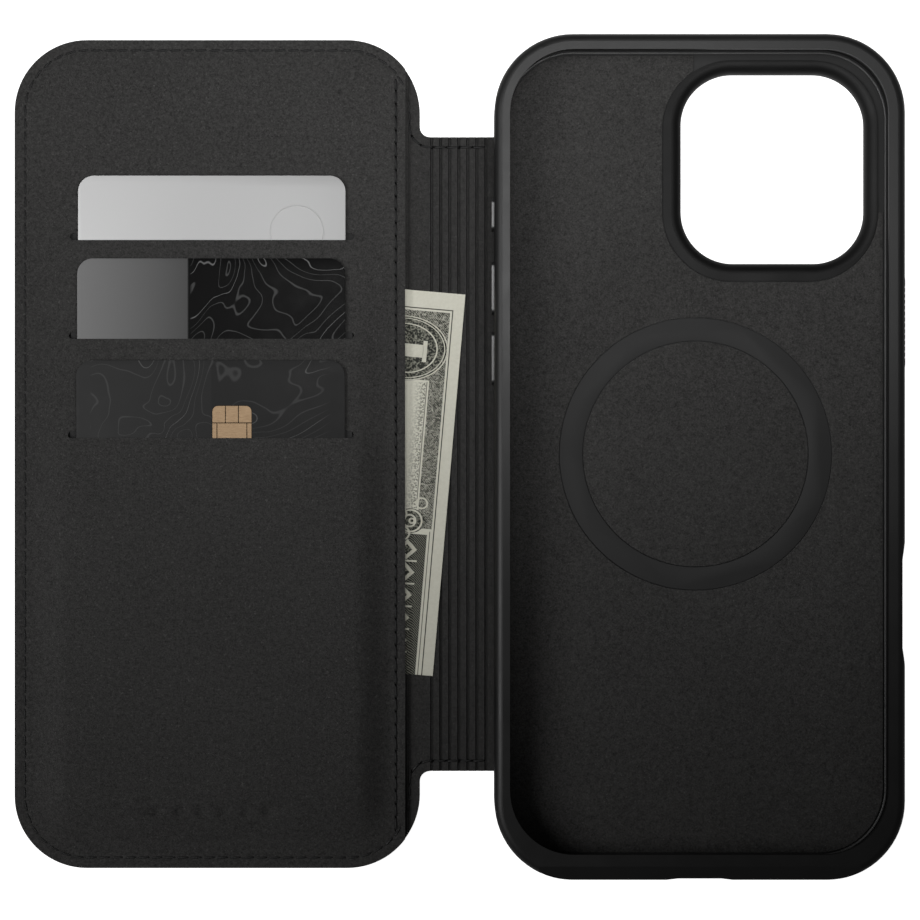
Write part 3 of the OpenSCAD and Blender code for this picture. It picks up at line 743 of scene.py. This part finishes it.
def inner_lining():
    """The one sheet of microfibre under the pockets and across the spine, pressed into ribs."""
    inset = 0.02 * MM
    piece = cover_with_strip("lining", spine_top, inset, LINING_END + 8 * MM)
    with editing(piece):
        melt_to_outline(piece)
        round_cover(piece, inset)
        pick(piece, "FACE", lambda co, n: True)
        bpy.ops.mesh.inset(thickness=SEAM_IN - inset - VALLEY, depth=0)
        bpy.ops.mesh.inset(thickness=VALLEY, depth=-VALLEY_DEEP)
        bpy.ops.mesh.inset(thickness=VALLEY, depth=VALLEY_DEEP)
    finish_with(piece, "SOLIDIFY", thickness=lining_t - 0.02 * MM, offset=-1)
    ease_edges(piece, 0.12 * MM, 2)
    with editing(piece):
        cut(SIDEWAYS, [LINING_END], clear_outer=True, use_fill=True)
        upper_face = spine_top - 0.15 * MM
        for x in GROOVES:
            for reach in (GROOVE_FOOT, GROOVE_MOUTH, RIB_EDGE):
                cut(SIDEWAYS, (x - reach, x + reach))
            pick(piece, "VERT", lambda co, n: abs(co.x - x) < GROOVE_FOOT + NEAR and co.z > upper_face)
            shift(z=-GROOVE_DEEP)
        bend_x = FOLD_X["cover_fold"]
        cut(SIDEWAYS, [bend_x + COVER_BEND * k / 5 for k in range(-5, 6)])
        rows = [board_x - CLIMB * k / 5 for k in range(6)]
        cut(SIDEWAYS, rows)
        pick(piece, "VERT", lambda co, n: co.x < rows[-1] - NEAR)
        shift(z=cover_base - spine_top)
        for k, x in enumerate(rows):
            pick(piece, "VERT", lambda co, n: abs(co.x - x) < NEAR)
            shift(z=(cover_base - spine_top) * smooth(k / 5))
        for x in [bend_x + COVER_BEND * k / 5 for k in range(-5, 0)]:
            if rows[-1] < x - NEAR and all(abs(x - row) > NEAR for row in rows) and x < board_x:
                pick(piece, "VERT", lambda co, n: abs(co.x - x) < NEAR)
                shift(z=(cover_base - spine_top) * smooth((board_x - x) / CLIMB))
    clothe(piece, RIBBED, EDGE)
    give_second(piece, lambda co, n: abs(n.z) < 0.5 and abs(n.x) < 0.9 and co.x > board_x)
    tray_half = twin(piece, "spine_lining_tray_half")
    piece.name = "cover_base_lining"
    with editing(tray_half):
        cut(SIDEWAYS, [SPLIT], clear_inner=True, use_fill=True)
    with editing(piece):
        cut(SIDEWAYS, [SPLIT], clear_outer=True, use_fill=True)
    for half in (piece, tray_half):
        soften(half, 60)
    bend_at_tray(tray_half)
    bend_at_cover(piece)
    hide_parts("spine_lining")
    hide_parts("cover_lining")
    return piece, tray_half


# Slot panel


def tiers_at(x, y):
    """How many cards lift the panel at a place, from 0 to 3."""
    aside = max(abs(x - slot_x) - SLIT_HALF, 0)
    reach = SLIT_H / 2 + 0.9 * aside
    count = sum(smooth((top - SLIT_H / 2 + reach - y) / (2 * reach)) for top in SLIT_TOPS)
    foot = smooth((y - FOOT_TOP + FOOT_RAMP) / FOOT_RAMP)
    return count * foot * smooth(1 - aside / SIDE_RAMP)


def slot_panel():
    """The sheet over the cards, stitched down all round and lifted a step by each card behind it."""
    inset = 0.02 * MM
    low = (cover_low.x + inset, cover_low.y + inset)
    high = (cover_high.x - inset, cover_high.y - inset)
    piece = flat_panel("slot_panel_cloth", low, high, panel_border)
    edge_x = panel_high.x
    seam_x = edge_x - EDGE_SEAM_IN
    badge_y = middle_y - 72.1 * MM
    badge_half = 1.0 * MM
    badge_x = [slot_x + 0.4 * MM + (k - 2.5) * 4.4 * MM for k in range(6)]
    with editing(piece):
        bpy.ops.mesh.select_all(action="SELECT")
        bpy.ops.mesh.bevel(offset=CORNER - inset, offset_type="OFFSET", segments=20, affect="VERTICES")
        pick(piece, "FACE", lambda co, n: True)
        bpy.ops.mesh.inset(thickness=SEAM_IN - inset - VALLEY, depth=0)
        bpy.ops.mesh.inset(thickness=VALLEY, depth=-VALLEY_DEEP)
        bpy.ops.mesh.inset(thickness=VALLEY, depth=VALLEY_DEEP)
        cut(SIDEWAYS, [edge_x], clear_outer=True)
        columns = [seam_x - VALLEY, seam_x, seam_x + VALLEY]
        for side in (-1, 1):
            columns += [slot_x + side * (SLIT_HALF + SIDE_RAMP * k / 10) for k in range(11)]
            columns += [slot_x + side * SLIT_HALF * k / 5 for k in range(1, 5)]
        columns += [x + s * badge_half for x in badge_x for s in (-1, 1)]
        cut(SIDEWAYS, sorted(columns))
        rows = [FOOT_TOP - FOOT_RAMP * k / 10 for k in range(11)]
        rows += [FOOT_TOP + 8 * MM * k for k in range(1, 8)]
        rows += [SLIT_TOPS[2] + SLIT_H * k for k in range(-7, 37)]
        rows += [SLIT_TOPS[0] + 9 * MM + 5 * MM * k for k in range(5)]
        rows += [badge_y + s * badge_half for s in (-1, 1)]
        cut(ALONG, sorted(set(rows)))
        pick(piece, "VERT", lambda co, n: abs(co.x - seam_x) < NEAR and abs(co.y - middle_y) < 76.4 * MM)
        shift(z=-VALLEY_DEEP)
    lift = piece.vertex_groups.new(name="lift")
    for vertex in piece.data.vertices:
        lift.add([vertex.index], tiers_at(vertex.co.x, vertex.co.y) / 3, "REPLACE")
    finish_with(piece, "DISPLACE", direction="Z", mid_level=0.0, strength=3 * tier_step,
                vertex_group="lift")
    with editing(piece):
        pick(piece, "FACE", lambda co, n: abs(co.y - badge_y) < badge_half - NEAR
             and any(abs(co.x - x) < badge_half - NEAR for x in badge_x))
        bpy.ops.mesh.inset(thickness=0.12 * MM, depth=-0.09 * MM)
    finish_with(piece, "SOLIDIFY", thickness=sheet_t - 0.02 * MM, offset=-1)
    for top in SLIT_TOPS:
        low_end, high_end = (slot_x - SLIT_HALF, top - SLIT_H), (slot_x + SLIT_HALF, top)
        cutter = rounded_plate("slit_cutter", low_end, high_end, SLIT_H / 2 - 0.01 * MM,
                               panel_border - 2 * MM, panel_border + 5 * MM, 8)
        take_away(piece, cutter)
    clothe(piece, LINING)
    soften(piece, 50)
    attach(piece, "cover")
    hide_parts("slot_panel")
    return piece


def edge_band():
    """The painted edge round the three sewn sides, which closes the layers between leather and panel."""
    outer, inner = 0.05 * MM, 0.5 * MM
    bands = []
    for z0, z1 in ((leather_top, cover_base - lining_t), (cover_base, panel_border - sheet_t)):
        low = (cover_low.x + outer, cover_low.y + outer)
        high = (cover_high.x - outer, cover_high.y - outer)
        band = rounded_plate("edge_band", low, high, CORNER - outer, z0, z1, 20)
        low = (cover_low.x + inner, cover_low.y + inner)
        high = (cover_high.x - inner, cover_high.y - inner)
        take_away(band, rounded_plate("band_cutter", low, high, CORNER - inner, z0 - MM, z1 + MM, 20))
        with editing(band):
            cut(SIDEWAYS, [panel_high.x], clear_outer=True, use_fill=True)
        bands.append(band)
    piece = join(bands, "cover_edge_band")
    clothe(piece, EDGE)
    soften(piece)
    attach(piece, "cover")


# Stitching


def arc(middle, radius, start, end, steps=14):
    """Points along an arc, in degrees, without its last point."""
    turns = [math.radians(start + (end - start) * k / steps) for k in range(steps)]
    return [(middle[0] + radius * math.cos(a), middle[1] + radius * math.sin(a)) for a in turns]


def panel_seam():
    """The seam round the cover's outer edge, from the pocket's mouth at the top to its mouth below."""
    edge_x = panel_high.x
    radius = CORNER - SEAM_IN
    left = cover_low.x + CORNER
    right = cover_high.x - CORNER
    top = cover_high.y - CORNER
    bottom = cover_low.y + CORNER
    start = math.degrees(math.acos((edge_x - 0.3 * MM - right) / radius))
    points = arc((right, top), radius, start, 90) + arc((left, top), radius, 90, 180)
    points += arc((left, bottom), radius, 180, 270) + arc((right, bottom), radius, 270, 360 - start)
    return points


def shoulder_seam(side):
    """The seam from beside the tray, along the spine's end and round the shoulder to the pocket."""
    row = spine_half - SEAM_IN
    radius = CORNER - SEAM_IN
    turn = FILLET + SEAM_IN
    right = cover_high.x - CORNER
    top = (cover_high.y - cover_low.y) / 2 - CORNER
    stop = math.degrees(math.acos((panel_high.x + 0.3 * MM - right) / radius))
    points = [(tray_low.x - 1.7 * MM, row)]
    points += arc((cover_high.x - SEAM_IN + turn, row + turn), turn, 270, 180, 8)
    points += [(cover_high.x - SEAM_IN, top)]
    points += arc((right, top), radius, 0, stop, 8)
    return [(x, middle_y + side * y) for x, y in points]


def one_stitch():
    """A stitch and the hole at its end, lying along X."""
    length = PITCH * 0.9
    deselect()
    bpy.ops.mesh.primitive_cylinder_add(vertices=8, radius=0.23 * MM, depth=length,
                                        rotation=(0, math.pi / 2, 0))
    stitch = bpy.context.active_object
    bpy.ops.object.transform_apply(location=True, rotation=True, scale=True)
    with editing(stitch):
        cut(SIDEWAYS, [length * t for t in (-0.38, -0.2, 0.0, 0.2, 0.38)])
        for t, drop in ((0.5, -0.26), (0.38, -0.06), (0.2, 0.03), (0.0, 0.05)):
            pick(stitch, "VERT", lambda co, n: abs(abs(co.x) - length * t) < NEAR)
            shift(z=drop * MM)
            pick(stitch, "VERT", lambda co, n: abs(co.x - length * t) < NEAR)
            shift(y=0.16 * t * MM)
            pick(stitch, "VERT", lambda co, n: t > 0 and abs(co.x + length * t) < NEAR)
            shift(y=-0.16 * t * MM)
    deselect()
    place = (length / 2 + 0.05 * MM, 0.04 * MM, 0.015 * MM)
    bpy.ops.mesh.primitive_circle_add(vertices=8, radius=0.36 * MM, fill_type="NGON",
                                      rotation=(0, 0, 0.5), location=place)
    hole = bpy.context.active_object
    hole.scale = (1.6, 0.8, 1)
    bpy.ops.object.transform_apply(location=True, rotation=True, scale=True)
    with editing(hole):
        bpy.ops.mesh.select_all(action="SELECT")
        bpy.ops.mesh.inset(thickness=0.1 * MM, depth=-0.04 * MM)
    # The hole's shallow dish gets painted shade, for the dark inside a deep needle hole.
    clothe(stitch, THREAD, HOLE_SHADE_AND_PAD_GAPS)
    clothe(hole, THREAD, HOLE_SHADE_AND_PAD_GAPS)
    for face in hole.data.polygons:
        face.material_index = 1
    stitch = join([stitch, hole], "stitch")
    soften(stitch, 60)
    return stitch


def row_of_stitches(name, points, z, under=False):
    """Repeats the stitch along a line of points at one height, or upside down under the leather."""
    line = bpy.data.curves.new(name + "_line", "CURVE")
    line.dimensions = "2D"
    line.twist_mode = "Z_UP"
    spline = line.splines.new("POLY")
    spline.points.add(len(points) - 1)
    for point, (x, y) in zip(spline.points, points):
        point.co = (x, y, 0, 1)
    path = bpy.data.objects.new(name + "_path", line)
    bpy.context.scene.collection.objects.link(path)
    length = sum(math.dist(a, b) for a, b in zip(points, points[1:]))
    count = max(1, round(length / PITCH))
    row = twin(STITCH, name)
    row.hide_render = row.hide_viewport = False
    step = length / count
    if under:
        hold(row)
        row.data.transform(Matrix.Rotation(math.pi, 4, "X"))
    row.data.transform(Matrix.Translation((step / 2, 0, 0)))
    finish_with(row, "ARRAY", count=count, use_relative_offset=False, use_constant_offset=True,
                constant_offset_displace=(step, 0, 0))
    finish_with(row, "CURVE", object=path, deform_axis="POS_X")
    bpy.data.objects.remove(path)
    row.data.transform(Matrix.Translation((0, 0, z)))
    return row


def seam_work():
    """All the stitching, inside and outside."""
    outer_face = leather_bottom + 0.02 * MM
    inside = row_of_stitches("cover_stitches", panel_seam(), panel_border - 0.1 * MM)
    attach(inside, "cover")
    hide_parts("cover_thread")
    x = panel_high.x - EDGE_SEAM_IN
    reach = 76.1 * MM
    edge = row_of_stitches("pocket_edge_stitches", [(x, middle_y + reach), (x, middle_y - reach)],
                           panel_border - 0.02 * MM)
    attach(edge, "cover")
    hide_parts("pocket_edge_thread")
    rows = [row_of_stitches("shoulder", shoulder_seam(s), spine_top - 0.02 * MM) for s in (-1, 1)]
    shoulders = join(rows, "spine_stitches")
    bend_at_cover(shoulders)
    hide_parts("spine_thread")
    outside = row_of_stitches("outside_cover_stitches", panel_seam(), outer_face, under=True)
    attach(outside, "cover")
    rows = [row_of_stitches("under_shoulder", shoulder_seam(s), outer_face, under=True) for s in (-1, 1)]
    bend_at_cover(join(rows, "outside_spine_stitches"))


# Tray


def tray_lining():
    """Microfibre on the tray's floor, with the ring-shaped gap and the inner disc."""
    radius = (magnet_high.x - magnet_low.x) / 2
    middle = ((magnet_low.x + magnet_high.x) / 2, (magnet_low.y + magnet_high.y) / 2)
    inner = radius - RING_WIDE
    edge = 0.45 * MM
    low = (seat_low.x + edge, seat_low.y + edge)
    high = (seat_high.x - edge, seat_high.y - edge)
    floor = rounded_plate("tray_lining_cloth", low, high, 13.0 * MM, seat_low.z, seat_high.z, 16)
    gap = 0.15 * MM
    take_away(floor, cylinder("ring_cutter", middle, radius + gap, seat_low.z - MM, seat_high.z + MM))
    near_ring = rounded_plate("flange_cutter", (ring_low.x - 0.1 * MM, ring_low.y - 0.1 * MM),
                              (ring_high.x + 0.1 * MM, ring_high.y + 0.1 * MM), 14.1 * MM,
                              seat_low.z - MM, seat_high.z + MM)
    take_away(floor, near_ring)
    # No cloth between the ring's flange and the walls
    by_end = rounded_plate("end_cutter", (middle[0] - 0.4 * MM, ring_high.y - 9 * MM),
                           (tray_high.x, tray_high.y), 1.2 * MM, seat_low.z - MM, seat_high.z + MM, 5)
    by_side = rounded_plate("side_cutter", (ring_high.x - 8 * MM, ring_low.y + 14 * MM),
                            (tray_high.x, tray_high.y), 1.2 * MM, seat_low.z - MM, seat_high.z + MM, 5)
    take_away(floor, by_end)
    take_away(floor, by_side)
    disc = cylinder("disc", middle, inner - gap, seat_low.z, seat_high.z)
    for cloth in (floor, disc):
        ease_edges(cloth, 0.12 * MM, 3)
    piece = join([floor, disc], "tray_lining_cloth")
    clothe(piece, LINING)
    soften(piece)
    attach(piece, "tray")
    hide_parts("tray_lining")
    return piece


def floor_rim():
    """The low moulded rim round the tray's floor, with the cloth inside it."""
    out, width, corner = 0.25 * MM, 0.38 * MM, 13.7 * MM
    low = (seat_low.x - out, seat_low.y - out)
    high = (seat_high.x + out, seat_high.y + out)
    piece = rounded_plate("floor_rim", low, high, corner, seat_low.z, seat_low.z + 0.45 * MM, 20)
    low = (low[0] + width, low[1] + width)
    high = (high[0] - width, high[1] - width)
    inside = rounded_plate("rim_cutter", low, high, corner - width, seat_low.z - MM, seat_low.z + MM, 20)
    take_away(piece, inside)
    ease_edges(piece, 0.1 * MM, 3)
    clothe(piece, RIM)
    soften(piece)
    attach(piece, "tray")


def ring_cover():
    """The smooth ring over the magnets, a hair below the cloth, with eased edges."""
    radius = (magnet_high.x - magnet_low.x) / 2
    middle = ((magnet_low.x + magnet_high.x) / 2, (magnet_low.y + magnet_high.y) / 2)
    piece = cylinder("ring_cover", middle, radius, magnet_low.z, magnet_high.z, 128)
    bottom, top = magnet_low.z - MM, magnet_high.z + MM
    take_away(piece, cylinder("inner_cutter", middle, radius - RING_WIDE, bottom, top, 128))
    ease_edges(piece, 0.1 * MM, 2)
    clothe(piece, RING_COVER)
    soften(piece)
    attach(piece, "tray")
    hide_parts("magnet_ring_cover")


# Cards and cash


def bank_card(name, material):
    low, high = CARDS[name]
    piece = rounded_plate(name + "_body", low.xy, high.xy, 3.18 * MM, low.z, high.z, 10)
    ease_edges(piece, 0.09 * MM, 2)
    clothe(piece, material)
    return piece


def cards():
    upper = bank_card("upper_card", SILVER_CARD)
    low, high = CARDS["upper_card"]
    # A plain ring in low relief, part hidden by the slit
    deselect()
    place = (low.x + 44.2 * MM, SLIT_TOPS[0] + 0.2 * MM, high.z - 0.02 * MM)
    bpy.ops.mesh.primitive_torus_add(major_radius=5.4 * MM, minor_radius=0.16 * MM, major_segments=48,
                                     minor_segments=6, location=place)
    relief = bpy.context.active_object
    relief.scale = (1, 1, 0.45)
    bpy.ops.object.transform_apply(location=True, rotation=True, scale=True)
    clothe(relief, SILVER_CARD)
    upper = join([upper, relief], "upper_card_body")
    middle = bank_card("middle_card", GREY_CARD)
    lower = bank_card("lower_card", BLACK_CARD)
    for piece, name in ((upper, "upper_card"), (middle, "middle_card"), (lower, "lower_card")):
        soften(piece)
        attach(piece, name)
        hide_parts(name)


def chip():
    """Contact pads with dark gaps between them."""
    top = CARDS["lower_card"][1].z + 0.01 * MM
    piece = rounded_plate("chip_pads", chip_low.xy, chip_high.xy, 1.2 * MM, chip_low.z, top, 6)
    middle_x = (chip_low.x + chip_high.x) / 2
    first_row = chip_high.y - 3.5 * MM
    last_row = chip_low.y + 3.5 * MM
    with editing(piece):
        cut(ALONG, (first_row, last_row))
        for side in (-1, 1):
            pick(piece, "FACE", lambda co, n: n.z > 0.9 and not last_row < co.y < first_row)
            bpy.ops.mesh.bisect(plane_co=(middle_x + side * 1.3 * MM, 0, 0), plane_no=(1, 0, 0))
            pick(piece, "FACE", lambda co, n: n.z > 0.9 and last_row < co.y < first_row)
            bpy.ops.mesh.bisect(plane_co=(middle_x + side * 3.0 * MM, 0, 0), plane_no=(1, 0, 0))
        pick(piece, "FACE", lambda co, n: n.z > 0.9)
        bpy.ops.mesh.inset(thickness=0.06 * MM, depth=0.0, use_individual=True)
        bpy.ops.mesh.inset(thickness=0.04 * MM, depth=0.03 * MM, use_individual=True)
    clothe(piece, GOLD, HOLE_SHADE_AND_PAD_GAPS)
    raised = top + 0.01 * MM
    give_second(piece, lambda co, n: co.z < raised and co.z > top - NEAR and n.z > 0.9)
    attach(piece, "lower_card")
    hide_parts("card_chip")


def banknote():
    """A note folded once at its lower end, lying from inside the cash pocket out over the spine."""
    width, length = NOTE_WIDE, NOTE_LONG
    middle = ((note_low.x + note_high.x) / 2, (note_low.y + note_high.y) / 2)
    lift = 0.04 * MM
    leaf = 0.1 * MM
    low = (middle[0] - width / 2, middle[1] - length / 2)
    high = (middle[0] + width / 2, middle[1] + length / 2)
    piece = flat_panel("folded_note", (low[0], high[1] - 1 * MM), high, spine_top + lift + leaf / 2)
    with editing(piece):
        pick(piece, "EDGE", lambda co, n: co.y < high[1] - 0.9 * MM)
        for y, z in ((-(length - 1.3 * MM), 0), (-0.18 * MM, 0.01 * MM), (-0.09 * MM, 0.045 * MM),
                     (0.09 * MM, 0.045 * MM), (0.18 * MM, 0.01 * MM), (length - 0.8 * MM, 0)):
            bpy.ops.mesh.extrude_region_move(TRANSFORM_OT_translate={"value": (0, y, z)})
    finish_with(piece, "SOLIDIFY", thickness=leaf * 0.9, offset=0)
    clothe(piece, NOTE)
    top = spine_top + lift + leaf * 2.1
    prints = join(note_ornament(high, top), "note_print")
    bend_x = FOLD_X["cover_fold"]
    for part in (piece, prints):
        part.data.transform(Matrix.Translation((*middle, 0)) @ Matrix.Rotation(-NOTE_LEAN, 4, "Z")
                            @ Matrix.Translation((-middle[0], -middle[1], 0)))
        with editing(part):
            cut(SIDEWAYS, [bend_x + COVER_BEND * k / 6 for k in range(-6, 7)])
        lift_group = part.vertex_groups.new(name="lift")
        for vertex in part.data.vertices:
            climb = smooth((board_x + 0.5 * MM - vertex.co.x) / (1.7 * MM))
            lift_group.add([vertex.index], climb, "REPLACE")
        finish_with(part, "DISPLACE", direction="Z", mid_level=0.0, strength=cover_base - spine_top,
                    vertex_group="lift")
        soften(part, 40)
        bend_at_cover(part)
    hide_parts("banknote")
    return piece, prints


def note_ornament(corner, z):
    """A numeral on its side in a dark oval, a scroll, and cream lozenges on the dark ground below it."""
    prints = []
    inked, cream = 0, 1

    def lay(made, layer, colour):
        made.data.transform(Matrix.Translation((0, 0, layer * 0.012 * MM)))
        clothe(made, INK, CREAM)
        for face in made.data.polygons:
            face.material_index = colour
        prints.append(made)

    def place(edge, top):
        """From distances in from the edge and down from the top, in millimetres."""
        return (corner[0] - edge * MM, corner[1] - top * MM, z)

    def ring(edge, top, wide, high, thick, layer, colour):
        deselect()
        bpy.ops.mesh.primitive_torus_add(major_radius=1, minor_radius=thick / wide, major_segments=56,
                                         minor_segments=4, location=place(edge, top))
        made = bpy.context.active_object
        made.scale = (wide * MM, high * MM, 0.04 * MM)
        bpy.ops.object.transform_apply(location=True, rotation=True, scale=True)
        lay(made, layer, colour)

    def oval(edge, top, wide, high, layer, colour):
        deselect()
        bpy.ops.mesh.primitive_circle_add(vertices=56, radius=1, fill_type="NGON",
                                          location=place(edge, top))
        made = bpy.context.active_object
        made.scale = (wide * MM, high * MM, 1)
        bpy.ops.object.transform_apply(location=True, rotation=True, scale=True)
        with editing(made):
            bpy.ops.mesh.select_all(action="SELECT")
            bpy.ops.mesh.inset(thickness=0.1 * MM, depth=0.004 * MM)
        lay(made, layer, colour)

    def bar(edge, top, wide, high, layer, colour, turn=0.0):
        deselect()
        bpy.ops.mesh.primitive_plane_add(size=1, location=place(edge, top), rotation=(0, 0, turn))
        made = bpy.context.active_object
        made.scale = (wide * MM, high * MM, 1)
        bpy.ops.object.transform_apply(location=True, rotation=True, scale=True)
        with editing(made):
            bpy.ops.mesh.select_all(action="SELECT")
            bpy.ops.mesh.inset(thickness=0.03 * MM, depth=0.004 * MM)
        lay(made, layer, colour)

    middle, top = 11.1, 11.8
    oval(middle, top, 8.6, 6.6, 0, inked)
    ring(middle, top, 8.45, 6.45, 0.13, 1, cream)
    ring(middle, top, 7.9, 6.0, 0.1, 1, cream)
    ring(middle, top, 6.35, 4.95, 0.14, 1, cream)
    bar(7.2, top + 0.4, 0.85, 4.3, 2, cream)
    bar(10.4, top + 0.4, 5.8, 2.6, 2, cream)
    scroll = 46.6
    oval(7.2, scroll, 2.9, 2.5, 1, inked)
    turns = ((7.2, 0.0, 2.3), (7.4, 0.0, 1.25), (6.9, 0.0, 0.5), (5.2, -3.7, 1.1), (9.6, -1.2, 1.5),
             (8.6, 2.6, 1.4))
    for edge, down, size in turns:
        ring(edge, scroll + down, size, size * 0.95, 0.18, 2, cream)
    for k in range(6):
        down = 52.4 + 4.6 * k
        bar(7.4 + 0.12 * k, down, 2.9, 2.9, 1, cream, math.radians(45))
        bar(7.4 + 0.12 * k, down, 1.5, 1.5, 2, inked, math.radians(45))
        bar(7.4 + 0.12 * k, down + 2.3, 4.4, 0.35, 1, cream)
    return prints


# Camera, light and floor


def camera():
    height = 0.45
    deselect()
    place = ((cad_low.x + cad_high.x) / 2 + 0.55 * MM, -0.7 * MM, height)
    bpy.ops.object.camera_add(location=place, rotation=(0, 0, 0))
    made = bpy.context.active_object
    made.data.lens = 86.3
    made.data.sensor_width = 36
    made.data.clip_start = 0.01
    bpy.context.scene.camera = made


def softbox(name, place, aim, size, energy):
    deselect()
    bpy.ops.object.light_add(type="AREA", location=place)
    lamp = bpy.context.active_object
    lamp.name = name
    lamp.data.shape = "RECTANGLE"
    lamp.data.size, lamp.data.size_y = size
    lamp.data.energy = energy
    lamp.rotation_euler = (Vector(aim) - Vector(place)).to_track_quat("-Z", "Y").to_euler()


def studio():
    softbox("key_softbox", (0.036, 0.066, 0.2), (0.046, 0.335, 0), (0.12, 0.14), 0.42)
    softbox("left_fill", (-0.283, -0.018, 0.343), (-0.05, 0.11, 0), (0.25, 0.25), 0.95)
    world = bpy.data.worlds.new("studio")
    bpy.context.scene.world = world
    world.use_nodes = True
    world.node_tree.nodes["Background"].inputs["Color"].default_value = (1, 1, 1, 1)
    world.node_tree.nodes["Background"].inputs["Strength"].default_value = 0.05
    deselect()
    bpy.ops.mesh.primitive_plane_add(size=6, location=(0, 0, cad_low.z - 0.05 * MM))
    floor = bpy.context.active_object
    floor.name = "floor"
    material, tree, shader, place = finish("white_table", Roughness=0.8)
    shader.inputs["Base Color"].default_value = (0.85, 0.85, 0.85, 1)
    shader.inputs["Emission Color"].default_value = (1, 1, 1, 1)
    seen = node(tree, "ShaderNodeLightPath").outputs["Is Camera Ray"]
    tree.links.new(seen, shader.inputs["Emission Strength"])
    clothe(floor, material)
    bpy.context.scene.view_settings.view_transform = "Standard"
    bpy.context.scene.view_settings.look = "None"


camera()
studio()
NOTE_MIDDLE = ((note_low.x + note_high.x) / 2, (note_low.y + note_high.y) / 2)
NOTE = note_paper("printed_note", NOTE_MIDDLE, NOTE_LEAN, NOTE_WIDE / 2, NOTE_LONG / 2)
for name, material in CARRIED.items():
    clothe(frame["nodes"][name], material)
outer_leather()
base_lining, spine_lining = inner_lining()
panel_cloth = slot_panel()
STITCH = one_stitch()
STITCH.hide_render = STITCH.hide_viewport = True
edge_band()
seam_work()
bpy.data.objects.remove(STITCH)
floor_cloth = tray_lining()
floor_rim()
ring_cover()
cards()
chip()
paper_note, note_print = banknote()
